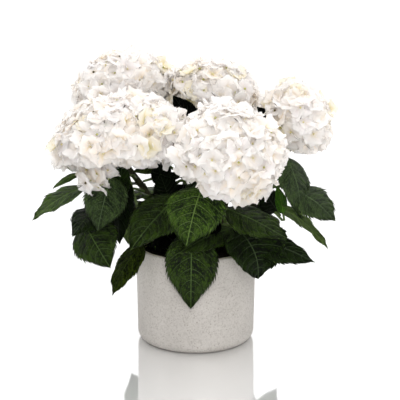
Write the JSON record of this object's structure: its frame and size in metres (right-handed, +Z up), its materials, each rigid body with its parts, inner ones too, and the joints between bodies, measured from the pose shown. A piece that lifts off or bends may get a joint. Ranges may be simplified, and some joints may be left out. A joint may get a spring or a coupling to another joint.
{
  "type": "potted hydrangea",
  "caption": "Low rounded hydrangea shrub with large white mophead flower heads above broad toothed dark-green leaves, planted in a straight-sided off-white stoneware pot.",
  "frame": {"origin": "centre of the pot's flat underside, on the surface it stands on", "axes": "+Z up, -Y towards the front of the plant, +X to the right seen from the front"},
  "size_m": [0.3902, 0.3291, 0.373],
  "materials": {
    "pot": "matt off-white stoneware with fine dark specks",
    "soil": "loose moist dark potting mix",
    "stem": "matt green-brown bark with raised leaf scars",
    "blossom": "soft matt white petals with cream-green centres",
    "leaf": "satin dark green, paler on the back"
  },
  "bodies": {
    "root": {"pot": "pot", "potting_soil": "soil", "stem_front_left": "stem", "stem_front_right": "stem", "stem_back": "stem", "stem_right": "stem", "stem_back_left": "stem", "side_shoot": "stem", "flower_head_front_left": "blossom", "flower_head_front_right": "blossom", "flower_head_back": "blossom", "flower_head_right": "blossom", "flower_head_back_left": "blossom", "foliage_front": "leaf", "foliage_front_left": "leaf", "foliage_left": "leaf", "foliage_left_tip": "leaf", "foliage_front_right": "leaf", "foliage_right": "leaf", "foliage_inner": "leaf", "foliage_back_left": "leaf", "foliage_back": "leaf", "foliage_back_right": "leaf"}
  },
  "joints": []
}
